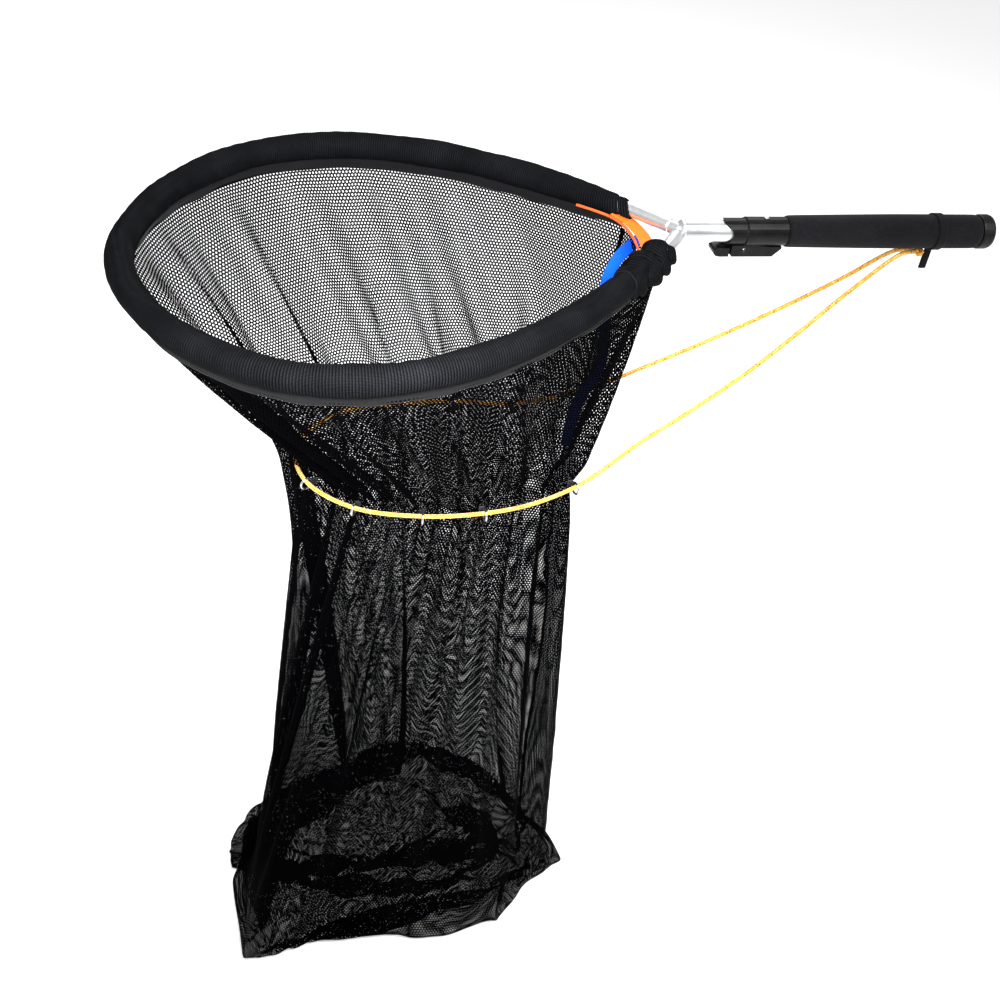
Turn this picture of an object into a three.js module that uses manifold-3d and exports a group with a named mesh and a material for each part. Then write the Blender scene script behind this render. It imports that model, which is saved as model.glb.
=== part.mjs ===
// Landing net with a drawcord bag, a telescopic handle and a flip lock. Millimetres, +Z up.
// The handle lies along X: butt at +X, hoop at -X, bag hanging down. Origin: middle of the hand hold.
import * as THREE from "three";
import Module from "manifold-3d";

const wasm = await Module();
wasm.setup();

// ---- driving dimensions -------------------------------------------------------------------
const APEX_X = -320;            // where the two arms of the hoop meet the inner tube
const HOOP_DROOP_DEG = 3;       // the hoop hangs a little below the line of the handle
const HOOP_TUBE_R = 8;
const HOOP_TUBE_BORE_R = 6.8;
const SLEEVE_R = 15.2;
const SLEEVE_BORE_R = 8.4;
const INNER_R = 12.5;
const INNER_BORE_R = 11.3;
const OUTER_R = 14.25;
const OUTER_BORE_R = 12.85;
const COLLAR_FRONT_X = -272;
const COLLAR_BACK_X = -196.5;
const GRIP_FRONT_X = -196;
const GRIP_BACK_X = 44;
const CAP_END_X = 60;
const PIVOT = { x: -244, z: -19 };
const CORD_R = 2.5;
const RING_R = 7;               // middle of the ring's wire
const RING_WIRE_R = 1.2;
const SHELL_T = 2;              // wall of the bag's plain solids
const WAIST_Z = -280;           // level of the drawcord loop

// half of the hoop's middle line: [distance from the apex, half width]
const HOOP_HALF = [
  [7, 9.2], [21, 27.6], [45, 56.5], [90, 101], [160, 161], [250, 215],
  [350, 243], [450, 227], [540, 155], [585, 70], [598, 0],
];

// the drawcord, end to end: hand hold, down to the first ring, round the bag, back up
const CORD_NEAR = [
  [-27, -2.7, -24.5], [-47, -7, -26], [-107, -24, -64], [-160, -38, -106], [-220, -53, -152],
  [-290, -71, -194], [-352, -86, -228], [-400, -96, -263],
];
const CORD_LOOP = [
  [-400.5, -96.2, -263.4], [-424, -101, -276], [-480, -123, -280], [-538, -134, -281], [-609, -134, -281],
  [-683, -115, -280], [-731, -69, -278], [-737, -4, -278], [-683, 60, -279], [-600, 78, -280],
  [-535, 80, -280], [-464, 70, -279], [-420, 74, -276], [-380.5, 78, -269.4],
];
const CORD_FAR = [
  [-380, 78, -269.2], [-339, 77, -254], [-290, 67, -222], [-238, 53, -184], [-155, 34, -122],
  [-95, 19, -72], [-47, 7, -29], [-27, 2.7, -24.5],
];
const RING_AT = [1, 3, 4, 5, 6, 7, 8, 9, 10, 11];   // loop points that pass through a ring

// levels of the bag below the waist: [z, middle x, middle y, half length, half depth]
const LOWER_LEVELS = [
  [-290, -566, -28, 157, 92], [-350, -566, -28, 160, 96], [-420, -567, -28, 167, 103],
  [-500, -567, -29, 176, 110], [-610, -566, -30, 184, 118], [-700, -565, -32, 190, 124],
  [-800, -568, -35, 194, 128], [-900, -573, -40, 200, 134], [-985, -574, -48, 212, 146],
];
const BASE_LEVELS = [
  [-985.4, -574, -48, 212, 146], [-1005, -572, -56, 232, 160], [-1025, -570, -62, 250, 172],
  [-1042, -570, -64, 254, 174], [-1052, -570, -64, 236, 160],
];

// ---- helpers ------------------------------------------------------------------------------
const V = (x, y, z) => new THREE.Vector3(x, y, z);

function solid(positions, triangles) {
  const g = new THREE.BufferGeometry();
  g.setAttribute("position", new THREE.Float32BufferAttribute(positions.flat(), 3));
  g.setIndex(triangles.flat());
  return outward(g);
}

// turns the faces of a closed body outward
function outward(g) {
  const p = g.attributes.position;
  const index = g.index ? Array.from(g.index.array) : [...Array(p.count).keys()];
  const [a, b, c] = [V(), V(), V()];
  let volume = 0;
  for (let i = 0; i < index.length; i += 3) {
    a.fromBufferAttribute(p, index[i]);
    b.fromBufferAttribute(p, index[i + 1]);
    c.fromBufferAttribute(p, index[i + 2]);
    volume += a.dot(b.cross(c));
  }
  if (volume < 0) for (let i = 0; i < index.length; i += 3) [index[i], index[i + 1]] = [index[i + 1], index[i]];
  g.setIndex(index);
  g.computeVertexNormals();
  return g;
}

// body through closed loops of equal length; the ends are flat lids, or joined when closed
function loft(loops, closed = false) {
  const n = loops[0].length;
  const positions = loops.flat();
  const tris = [];
  const last = closed ? loops.length : loops.length - 1;
  for (let i = 0; i < last; i++) {
    const next = (i + 1) % loops.length;
    for (let j = 0; j < n; j++) {
      const k = (j + 1) % n;
      tris.push([i * n + j, i * n + k, next * n + k], [i * n + j, next * n + k, next * n + j]);
    }
  }
  if (!closed) {
    for (const [row, flip] of [[0, true], [loops.length - 1, false]]) {
      const middle = loops[row].reduce((s, q) => [s[0] + q[0] / n, s[1] + q[1] / n, s[2] + q[2] / n], [0, 0, 0]);
      const m = positions.push(middle) - 1;
      for (let j = 0; j < n; j++) {
        const [u, w] = [row * n + j, row * n + ((j + 1) % n)];
        tris.push(flip ? [m, w, u] : [m, u, w]);
      }
    }
  }
  return solid(positions, tris);
}

// ring of revolution about the X axis from a closed profile of [x, radius]
function turned(profile, sides = 32) {
  const loops = [...Array(sides).keys()].map((i) => {
    const a = (2 * Math.PI * i) / sides;
    return profile.map(([x, r]) => [x, r * Math.cos(a), r * Math.sin(a)]);
  });
  return loft(loops, true);
}

// solid of revolution about the X axis whose profile starts and ends on the axis
function turnedSolid(profile, sides = 32) {
  const g = new THREE.LatheGeometry(profile.map(([x, r]) => new THREE.Vector2(r, x)), sides);
  g.rotateZ(-Math.PI / 2);
  return outward(g);
}

function merged(geometry) {
  const p = geometry.attributes.position;
  const seen = new Map();
  const verts = [];
  const remap = [];
  for (let i = 0; i < p.count; i++) {
    const xyz = [p.getX(i), p.getY(i), p.getZ(i)];
    const key = xyz.map((v) => Math.round(v * 1e4)).join();
    if (!seen.has(key)) { seen.set(key, seen.size); verts.push(...xyz); }
    remap.push(seen.get(key));
  }
  const index = geometry.index ? Array.from(geometry.index.array) : [...Array(p.count).keys()];
  const tris = [];
  for (let i = 0; i < index.length; i += 3) {
    const t = [remap[index[i]], remap[index[i + 1]], remap[index[i + 2]]];
    if (t[0] !== t[1] && t[1] !== t[2] && t[2] !== t[0]) tris.push(...t);
  }
  return { verts, tris };
}

function body(geometry) {
  const { verts, tris } = merged(outward(geometry));
  return new wasm.Manifold(new wasm.Mesh({
    numProp: 3, vertProperties: new Float32Array(verts), triVerts: new Uint32Array(tris),
  }));
}

function fromBody(manifold) {
  const m = manifold.getMesh();
  const g = new THREE.BufferGeometry();
  const xyz = [];
  for (let i = 0; i < m.vertProperties.length; i += m.numProp) xyz.push(...m.vertProperties.slice(i, i + 3));
  g.setAttribute("position", new THREE.Float32BufferAttribute(xyz, 3));
  g.setIndex(Array.from(m.triVerts));
  g.computeVertexNormals();
  return g;
}

// outline in the XZ plane, drawn out along Y between two walls
function plateXZ(outline, y0, y1) {
  const g = new THREE.ExtrudeGeometry(new THREE.Shape(outline.map(([x, z]) => new THREE.Vector2(x, z))),
    { depth: y1 - y0, bevelEnabled: false });
  g.rotateX(Math.PI / 2);
  g.translate(0, y1, 0);
  return g;
}

function box(x0, x1, y0, y1, z0, z1) {
  const g = new THREE.BoxGeometry(x1 - x0, y1 - y0, z1 - z0);
  g.translate((x0 + x1) / 2, (y0 + y1) / 2, (z0 + z1) / 2);
  return g;
}

function rod(from, to, r, sides = 24) {
  const along = to.clone().sub(from);
  const g = new THREE.CylinderGeometry(r, r, along.length(), sides);
  g.applyQuaternion(new THREE.Quaternion().setFromUnitVectors(V(0, 1, 0), along.clone().normalize()));
  const middle = from.clone().add(to).multiplyScalar(0.5);
  g.translate(middle.x, middle.y, middle.z);
  return g;
}

function cordTube(points, steps) {
  const path = new THREE.CatmullRomCurve3(points.map((p) => V(...p)), false, "centripetal");
  const shape = new THREE.Shape();
  shape.absarc(0, 0, CORD_R, 0, 2 * Math.PI);
  return outward(new THREE.ExtrudeGeometry(shape, { steps, curveSegments: 4, bevelEnabled: false, extrudePath: path }));
}

// ---- the hoop's middle line, in its own flat plane ------------------------------------------
const hoopPoints = [
  ...HOOP_HALF.map(([d, w]) => V(-d, w, 0)),
  ...HOOP_HALF.slice(0, -1).reverse().map(([d, w]) => V(-d, -w, 0)),
];
const hoopCurve = new THREE.CatmullRomCurve3(hoopPoints, false, "centripetal");
const HOOP_LENGTH = hoopCurve.getLength();
const placeHoop = new THREE.Matrix4()
  .makeTranslation(APEX_X, 0, 0)
  .multiply(new THREE.Matrix4().makeRotationY(THREE.MathUtils.degToRad(-HOOP_DROOP_DEG)));

function hoopFrame(s) {
  const u = s / HOOP_LENGTH;
  const t = hoopCurve.getTangentAt(u);
  return { p: hoopCurve.getPointAt(u), n: V(t.y, -t.x, 0).normalize() };
}

// points round a section at length s; the section is [sideways, up] about the middle line
function hoopLoop(s, section) {
  const { p, n } = hoopFrame(s);
  return section.map(([a, b]) => {
    const q = p.clone().addScaledVector(n, a).add(V(0, 0, b)).applyMatrix4(placeHoop);
    return [q.x, q.y, q.z];
  });
}

function circle(r, sides) {
  return [...Array(sides).keys()].map((i) => {
    const a = (2 * Math.PI * i) / sides;
    return [r * Math.cos(a), r * Math.sin(a)];
  });
}

// lengths along the hoop at which every piece on it has a section, so that neighbours stay parallel
const SLEEVE_START = 64;
const SLEEVE_END = HOOP_LENGTH - 38;
const CUFF_END = SLEEVE_START + 11.6;
const GATHER_START = SLEEVE_END - 92;
const SEAM_GAP = 0.4;
const CUTS = [2, SLEEVE_START, CUFF_END, CUFF_END + SEAM_GAP, GATHER_START, GATHER_START + SEAM_GAP, SLEEVE_END,
  HOOP_LENGTH - 2];
const STATIONS = CUTS.slice(1).flatMap((to, i) => {
  const from = CUTS[i];
  const step = from > GATHER_START ? 7 : 38;
  const n = Math.ceil((to - from) / step);
  return [...Array(n).keys()].map((k) => from + ((to - from) * k) / n);
}).concat(CUTS.at(-1));
const stationsOf = (s0, s1) => STATIONS.filter((s) => s > s0 - 0.01 && s < s1 + 0.01);

// hollow tube along part of the hoop, its outer radius given along the way
function hoopTube(s0, s1, radiusAt, bore, sides) {
  const along = stationsOf(s0, s1);
  const outer = along.map((s) => hoopLoop(s, circle(radiusAt((s - s0) / (s1 - s0)), sides)));
  const inner = along.map((s) => hoopLoop(s, circle(bore, sides)));
  return loft([...outer, ...inner.reverse()], true);
}

// ---- parts ---------------------------------------------------------------------------------
const MATERIALS = {
  aluminium: { color: 0xc9ccd0, metalness: 1, roughness: 0.32 },
  steel: { color: 0xb9bcc0, metalness: 1, roughness: 0.25 },
  blackPlastic: { color: 0x17181a, metalness: 0, roughness: 0.45 },
  foam: { color: 0x323234, metalness: 0, roughness: 0.85 },
  blackFabric: { color: 0x1b1b1f, metalness: 0, roughness: 0.95 },
  netFabric: { color: 0x141417, metalness: 0, roughness: 0.9 },
  blueWebbing: { color: 0x1d63e6, metalness: 0, roughness: 0.8 },
  orangeFabric: { color: 0xf08a1c, metalness: 0, roughness: 0.8 },
  cord: { color: 0xd69a2b, metalness: 0, roughness: 0.85 },
};

const net = new THREE.Group();
net.name = "landing_net";

function add(name, geometry, material) {
  const mesh = new THREE.Mesh(geometry, new THREE.MeshStandardMaterial(MATERIALS[material]));
  mesh.name = name;
  net.add(mesh);
}

// handle: outer tube, foam grip, butt cap
const screwHole = rod(V(-222, 0, 11), V(-222, 0, 20), 1.9);
add("outer_tube", fromBody(body(turned([
  [-230.3, OUTER_BORE_R], [50, OUTER_BORE_R], [50, OUTER_R], [-230.3, OUTER_R],
])).subtract(body(screwHole))), "aluminium");
add("grip_foam", turned([
  [GRIP_FRONT_X, OUTER_R + 0.3], [GRIP_BACK_X, OUTER_R + 0.3], [GRIP_BACK_X, 17.4], [GRIP_BACK_X - 2, 18.8],
  [GRIP_BACK_X - 8, 19.2], [-60, 19.3], [-120, 18.6], [-180, 17.8], [GRIP_FRONT_X + 2, 17.4], [GRIP_FRONT_X, 16.4],
]), "foam");
add("butt_cap", turnedSolid([
  [50.4, 0], [50.4, OUTER_R + 0.3], [GRIP_BACK_X + 0.4, OUTER_R + 0.3], [GRIP_BACK_X + 0.4, 19], [46.4, 19.8],
  [56, 19.8], [59, 18.6], [CAP_END_X, 16.5], [CAP_END_X, 0],
]), "blackPlastic");

// lock collar: stepped barrel with a concave front edge, and a fork for the lever underneath
const barrel = turned([
  [COLLAR_FRONT_X, 12.9], [-230.7, 12.9], [-230.7, OUTER_R + 0.3], [COLLAR_BACK_X, OUTER_R + 0.3],
  [COLLAR_BACK_X, 15.4], [-198, 16], [-245.5, 16], [-247, 14.75], [COLLAR_FRONT_X, 14.75],
], 32);
const housing = plateXZ([
  [-259, -13.4], [-259, -25.3], [-257.2, -27], [-209, -27], [-199.5, -17.5], [-199.5, -15], [-215, -15],
  [-230, -13.4],
], -9, 9);
const pinHole = rod(V(PIVOT.x, -12, PIVOT.z), V(PIVOT.x, 12, PIVOT.z), 2.1);
const collarBore = turnedSolid([[-280, 0], [-280, 12.9], [-230.7, 12.9], [-230.7, OUTER_R + 0.3],
  [-190, OUTER_R + 0.3], [-190, 0]], 32);
const collar = body(barrel).add(body(housing)).subtract(body(collarBore))
  .subtract(body(rod(V(-277, -20, 0), V(-277, 20, 0), 14, 32)))
  .subtract(body(box(-266, -234.5, -5.4, 5.4, -32, -15.6)))
  .subtract(body(box(-251, -236.5, -5.4, 5.4, -18, -9)))
  .subtract(body(pinHole))
  .subtract(body(screwHole));
add("lock_collar", fromBody(collar), "blackPlastic");
add("collar_screw", (() => {
  const g = turnedSolid([[13.2, 0], [13.2, 1.5], [16.4, 1.5], [16.4, 2.9], [17.0, 2.7], [17.4, 1.6], [17.5, 0]], 24);
  g.rotateY(-Math.PI / 2);
  g.translate(-222, 0, 0);
  return outward(g);
})(), "steel");
const leverPin = turnedSolid([[-10.5, 0], [-10.3, 1.8], [-9.4, 2.9], [-9.35, 1.75], [9.35, 1.75], [9.4, 2.9],
  [10.3, 1.8], [10.5, 0]], 24);
leverPin.rotateZ(Math.PI / 2);
leverPin.translate(PIVOT.x, 0, PIVOT.z);
add("lever_pin", outward(leverPin), "steel");

// flip lever: cam round the pin, narrow neck in the fork, wide finger tab in front
const hub = rod(V(PIVOT.x, -5, PIVOT.z), V(PIVOT.x, 5, PIVOT.z), 6.2, 32);
const neck = plateXZ([[-246, -17.2], [-263, -16.9], [-263, -26.2], [-250, -24.6], [-246, -23.6]], -5, 5);
const tab = plateXZ([
  [-261.4, -16.7], [-275.5, -16.3], [-278.4, -17.4], [-279.8, -20], [-279.4, -23.4], [-276.8, -26],
  [-272, -27], [-261.4, -27],
], -9, 9);
const lever = body(hub).add(body(neck)).add(body(tab))
  .subtract(body(box(PIVOT.x + 5, PIVOT.x + 9, -6, 6, -26, -12)))
  .subtract(body(pinHole));
add("lock_lever", fromBody(lever), "blackPlastic");

// inner tube and the bush that steadies its rear end inside the outer tube
add("inner_tube", turned([[APEX_X + 3, INNER_BORE_R], [35, INNER_BORE_R], [35, INNER_R], [APEX_X + 3, INNER_R]]),
  "aluminium");
add("slide_bush", turned([[18, 6], [39, 6], [39, 12.1], [38.4, 12.6], [35.3, 12.6], [35.3, 10.9], [18, 10.9]]),
  "blackPlastic");

// yoke: welded Y that joins the two ends of the hoop to the inner tube
const ARM = Math.atan2(HOOP_HALF[0][1], HOOP_HALF[0][0]);
const armEnd = (side, reach) => V(-reach * Math.cos(ARM), side * reach * Math.sin(ARM), 0).applyMatrix4(placeHoop);
const apex = V(APEX_X, 0, 0);
const hoopStart = hoopFrame(CUTS[0]).p.length();
let yoke = body(turned([[APEX_X - 4, 0.01], [APEX_X + 2.7, 0.01], [APEX_X + 2.7, INNER_R], [APEX_X - 1, INNER_R],
  [APEX_X - 4, 9]])).add(body(turnedSolid([[APEX_X, 0], [APEX_X, 10.9], [APEX_X + 24, 10.9], [APEX_X + 26, 9.8],
  [APEX_X + 26, 0]])));
for (const side of [1, -1]) {
  yoke = yoke.add(body(rod(apex, armEnd(side, hoopStart - 0.5), HOOP_TUBE_R, 32)))
    .add(body(rod(apex, armEnd(side, hoopStart + 13), HOOP_TUBE_BORE_R - 0.9, 24)));
}
add("yoke", fromBody(yoke), "aluminium");
add("hoop_tube", hoopTube(CUTS[0], CUTS.at(-1), () => HOOP_TUBE_R, HOOP_TUBE_BORE_R, 10), "aluminium");

// padded sleeve over the hoop, its gathered end, its cuff and the hem below it
add("hoop_sleeve", hoopTube(CUFF_END + SEAM_GAP, GATHER_START, () => SLEEVE_R, SLEEVE_BORE_R, 12), "blackFabric");
add("sleeve_cuff", hoopTube(SLEEVE_START, CUFF_END, (t) => SLEEVE_R - 1.5 * (1 - t), SLEEVE_BORE_R, 12),
  "blackFabric");
add("sleeve_gather", hoopTube(GATHER_START + SEAM_GAP, SLEEVE_END,
  (t) => SLEEVE_R + 2.6 * Math.sin(Math.PI * t) + 1.4 * Math.cos(t * 7 * Math.PI), SLEEVE_BORE_R, 12),
"blackFabric");
const HEM_TOP = -SLEEVE_R - 5;
const HEM_BOTTOM = HEM_TOP - 12;
add("sleeve_hem", loft(stationsOf(SLEEVE_START, SLEEVE_END)
  .map((s) => hoopLoop(s, [[-1, HEM_BOTTOM], [1, HEM_BOTTOM], [1, HEM_TOP], [-1, HEM_TOP]]))), "blackFabric");

// orange web between the sleeve's ends, its piping, and the blue pull strap
const onHoop = (x, y, z) => V(x, y, z).applyMatrix4(placeHoop).toArray();
const bandLoop = (p, across, up) => [
  [p[0] - across[0] - up[0], p[1] - across[1] - up[1], p[2] - across[2] - up[2]],
  [p[0] + across[0] - up[0], p[1] + across[1] - up[1], p[2] + across[2] - up[2]],
  [p[0] + across[0] + up[0], p[1] + across[1] + up[1], p[2] + across[2] + up[2]],
  [p[0] - across[0] + up[0], p[1] - across[1] + up[1], p[2] - across[2] + up[2]],
];
add("orange_web", loft([[-50, 40, -9.5], [-47, 26, -11], [-44, 8, -12], [-44, -8, -12], [-46, -22, -10.5]]
  .map((p) => bandLoop(onHoop(...p), [8, 0, 0], [0, 0, 0.6]))), "orangeFabric");
const pipingPath = new THREE.CatmullRomCurve3([[-92, 78, -12], [-76, 62, -12], [-64, 44, -13], [-58, 26, -14],
  [-56, 8, -15], [-57, -12, -15], [-60, -28, -14]].map((p) => V(...onHoop(...p))));
const pipingShape = new THREE.Shape();
pipingShape.absarc(0, 0, 1.3, 0, 2 * Math.PI);
add("orange_piping", outward(new THREE.ExtrudeGeometry(pipingShape,
  { steps: 18, curveSegments: 4, bevelEnabled: false, extrudePath: pipingPath })), "orangeFabric");

// bag: plain open shells; each level is a loop round the vertical
const SIDES = 32;
const HOOP_MIDDLE = -330;
const hoopRing = [...Array(241).keys()].map((i) => hoopCurve.getPointAt(i / 240));
function hoopReach(angle) {
  let best = 0;
  for (let i = 0; i < hoopRing.length; i++) {
    const [p, q] = [hoopRing[i], hoopRing[(i + 1) % hoopRing.length]];
    const a = [p.x - HOOP_MIDDLE, p.y];
    const b = [q.x - HOOP_MIDDLE, q.y];
    const d = [Math.cos(angle), Math.sin(angle)];
    const det = d[0] * (a[1] - b[1]) - d[1] * (a[0] - b[0]);
    const t = (a[0] * (a[1] - b[1]) - a[1] * (a[0] - b[0])) / det;
    const k = (d[0] * a[1] - d[1] * a[0]) / det;
    if (t > 0 && k >= -1e-6 && k <= 1 + 1e-6) best = Math.max(best, t);
  }
  return best;
}
const angles = [...Array(SIDES).keys()].map((i) => (2 * Math.PI * i) / SIDES);
const WAIST = { x: -566, y: -28, a: 157, b: 92 };
const SQUARENESS = 2.5;         // 2 would be an ellipse
function oval(cx, cy, a, b, angle) {
  const [c, s] = [Math.cos(angle), Math.sin(angle)];
  const r = (Math.abs(c / a) ** SQUARENESS + Math.abs(s / b) ** SQUARENESS) ** (-1 / SQUARENESS);
  return [cx + r * c, cy + r * s];
}
const NET_TOP = HEM_BOTTOM - 0.6;
function upperPoint(angle, f, inset) {
  const r = hoopReach(angle) - inset;
  const top = V(HOOP_MIDDLE + r * Math.cos(angle), r * Math.sin(angle), NET_TOP).applyMatrix4(placeHoop);
  const [wx, wy] = oval(WAIST.x, WAIST.y, WAIST.a - inset, WAIST.b - inset, angle);
  const pull = f + 0.12 * Math.sin(Math.PI * f);
  return [top.x + (wx - top.x) * pull, top.y + (wy - top.y) * pull, top.z + (WAIST_Z + 6 - top.z) * f];
}
const upper = (inset) => [...Array(8).keys()].map((i) => angles.map((a) => upperPoint(a, i / 7, inset)));
add("net_upper", loft([...upper(0), ...upper(SHELL_T).reverse()], true), "netFabric");
const levelLoop = ([z, cx, cy, a, b], inset) => angles.map((t) => [...oval(cx, cy, a - inset, b - inset, t), z]);
const waistBand = [[WAIST_Z + 5.6, WAIST.x, WAIST.y, WAIST.a, WAIST.b], [WAIST_Z - 9.6, WAIST.x, WAIST.y, WAIST.a, WAIST.b]];
const shell = (levels) => [...levels.map((l) => levelLoop(l, 0)), ...levels.map((l) => levelLoop(l, SHELL_T)).reverse()];
add("net_waist", loft(shell(waistBand), true), "netFabric");
add("net_lower", loft(shell(LOWER_LEVELS), true), "netFabric");
const baseInner = BASE_LEVELS.slice(0, -1).concat([[-1049.5, -570, -64, 234, 158]]);
add("net_base", loft([
  ...baseInner.map((l) => levelLoop(l, SHELL_T)).reverse(),
  ...BASE_LEVELS.map((l) => levelLoop(l, 0)),
]), "netFabric");

// blue webbing strap: from the yoke down the inside of the bag to the waist
const STRAP_ANGLE = THREE.MathUtils.degToRad(-24);
const strapDown = [0.1, 0.28, 0.46, 0.64, 0.82, 0.97].map((f) => upperPoint(STRAP_ANGLE, f, SHELL_T + 5));
const acrossStrap = [Math.sin(-STRAP_ANGLE) * 6.2, Math.cos(STRAP_ANGLE) * 6.2, 0];
add("blue_strap", loft([
  bandLoop(onHoop(-66, -14, -22), [-4.5, 4.5, 0], [0.35, 0.35, 0.5]),
  bandLoop(onHoop(-84, -44, -23), [-4.8, 4.2, 0], [0.35, 0.35, 0.5]),
  bandLoop(onHoop(-108, -78, -27), [-3, 5.4, 0], [0.6, 0.2, 0.4]),
  ...strapDown.map((p) => bandLoop(p, acrossStrap, [0.55, -0.25, 0])),
]), "blueWebbing");

// drawcord, its anchor on the grip, its knot, and the rings in their tabs
add("drawcord_near", cordTube(CORD_NEAR, 22), "cord");
add("drawcord_loop", cordTube(CORD_LOOP, 36), "cord");
add("drawcord_far", cordTube(CORD_FAR, 20), "cord");
add("anchor_band", turned([[-14, 19.7], [-4, 19.7], [-4, 21], [-14, 21]]), "blackFabric");
add("anchor_tab", plateXZ([[-13.5, -21.3], [-4.5, -21.3], [-4.5, -46], [-6, -48], [-12, -48], [-13.5, -46]], -1.5, 1.5),
  "blackFabric");
const knot = new THREE.SphereGeometry(5.4, 16, 12);
knot.scale(1.1, 1, 0.85);
knot.translate(-20, 0, -26);
add("cord_knot", outward(knot), "cord");

const loopCurve = new THREE.CatmullRomCurve3(CORD_LOOP.map((p) => V(...p)), false, "centripetal");
RING_AT.forEach((at, i) => {
  const u = at / (CORD_LOOP.length - 1);
  const p = loopCurve.getPoint(u);
  const t = loopCurve.getTangent(u).setZ(0).normalize();
  const n = V(t.y, -t.x, 0);
  if (n.dot(V(p.x - WAIST.x, p.y - WAIST.y, 0)) < 0) n.negate();
  const place = new THREE.Matrix4().makeBasis(n, n.clone().cross(V(0, 0, 1)).negate(), V(0, 0, 1));
  place.setPosition(p.x, p.y, p.z - 2.2);
  const name = String(i + 1).padStart(2, "0");
  const ring = new THREE.TorusGeometry(RING_R, RING_WIRE_R, 6, 16);
  ring.rotateX(Math.PI / 2);
  add(`cord_ring_${name}`, outward(ring.applyMatrix4(place)), "steel");
  const outline = new THREE.Shape([[-13.2, -3.4], [-5.2, -3.4], [-4.4, -2], [-4.4, 2], [-5.2, 3.4], [-13.2, 3.4]]
    .map(([x, y]) => new THREE.Vector2(x, y)));
  const hole = new THREE.Path();
  hole.absarc(-RING_R, 0, 1.95, 0, 2 * Math.PI);
  outline.holes.push(hole);
  const tabBody = new THREE.ExtrudeGeometry(outline, { depth: 5, curveSegments: 5, bevelEnabled: false });
  tabBody.translate(0, 0, -2.5);
  add(`ring_tab_${name}`, outward(tabBody.applyMatrix4(place)), "blackFabric");
});

export default net;
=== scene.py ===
"""Looks of a landing net: telescopic handle, padded hoop, mesh bag with a drawcord. Metres, in the CAD frame."""
import math

import bmesh
import bpy
import numpy as np
from mathutils import Matrix, Vector


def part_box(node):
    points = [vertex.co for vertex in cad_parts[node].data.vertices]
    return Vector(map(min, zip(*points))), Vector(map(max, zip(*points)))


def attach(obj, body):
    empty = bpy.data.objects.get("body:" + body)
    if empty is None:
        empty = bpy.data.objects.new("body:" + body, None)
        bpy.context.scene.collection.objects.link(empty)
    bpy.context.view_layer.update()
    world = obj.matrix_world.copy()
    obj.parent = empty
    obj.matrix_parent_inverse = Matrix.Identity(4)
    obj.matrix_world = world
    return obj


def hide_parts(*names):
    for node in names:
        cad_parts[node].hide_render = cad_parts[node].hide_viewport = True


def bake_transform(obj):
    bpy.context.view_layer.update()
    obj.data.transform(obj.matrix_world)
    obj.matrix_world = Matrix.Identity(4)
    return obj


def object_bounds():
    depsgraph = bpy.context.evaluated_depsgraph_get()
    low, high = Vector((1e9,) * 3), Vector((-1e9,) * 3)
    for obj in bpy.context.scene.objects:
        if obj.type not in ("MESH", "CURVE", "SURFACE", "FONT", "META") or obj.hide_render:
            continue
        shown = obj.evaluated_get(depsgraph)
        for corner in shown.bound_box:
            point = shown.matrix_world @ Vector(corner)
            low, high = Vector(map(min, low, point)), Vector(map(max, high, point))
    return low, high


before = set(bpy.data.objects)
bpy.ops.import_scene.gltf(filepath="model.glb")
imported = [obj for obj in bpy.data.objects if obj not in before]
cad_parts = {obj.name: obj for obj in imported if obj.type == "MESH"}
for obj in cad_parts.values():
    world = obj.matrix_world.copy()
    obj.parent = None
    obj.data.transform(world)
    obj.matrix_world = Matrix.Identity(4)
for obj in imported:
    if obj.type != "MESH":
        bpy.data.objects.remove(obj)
cad_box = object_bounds()

TAU = 2 * math.pi
FLOOR_Z = cad_box[0][2]
APEX_X = -0.320
DROOP = math.radians(3)

# half of the hoop's middle line: distance from the apex, half width
HOOP_HALF = [
    (0.007, 0.0092), (0.021, 0.0276), (0.045, 0.0565), (0.090, 0.101), (0.160, 0.161), (0.250, 0.215),
    (0.350, 0.243), (0.450, 0.227), (0.540, 0.155), (0.585, 0.070), (0.598, 0.0),
]
# the drawcord: hand hold, down to the first ring, round the bag, back up
CORD_ROUTE = [
    (-0.027, -0.0027, -0.0245), (-0.047, -0.007, -0.026), (-0.107, -0.024, -0.064), (-0.160, -0.038, -0.106),
    (-0.220, -0.053, -0.152), (-0.290, -0.071, -0.194), (-0.352, -0.086, -0.228), (-0.400, -0.096, -0.263),
    (-0.424, -0.101, -0.276), (-0.480, -0.123, -0.280), (-0.538, -0.134, -0.281), (-0.609, -0.134, -0.281),
    (-0.683, -0.115, -0.280), (-0.731, -0.069, -0.278), (-0.737, -0.004, -0.278), (-0.683, 0.060, -0.279),
    (-0.600, 0.078, -0.280), (-0.535, 0.080, -0.280), (-0.464, 0.070, -0.279), (-0.420, 0.074, -0.276),
    (-0.3803, 0.078, -0.2693), (-0.339, 0.077, -0.254), (-0.290, 0.067, -0.222), (-0.238, 0.053, -0.184),
    (-0.155, 0.034, -0.122), (-0.095, 0.019, -0.072), (-0.047, 0.007, -0.029), (-0.027, 0.0027, -0.0245),
]
CORD_R = 0.0025
BRAID_PITCH = 0.0036


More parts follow.
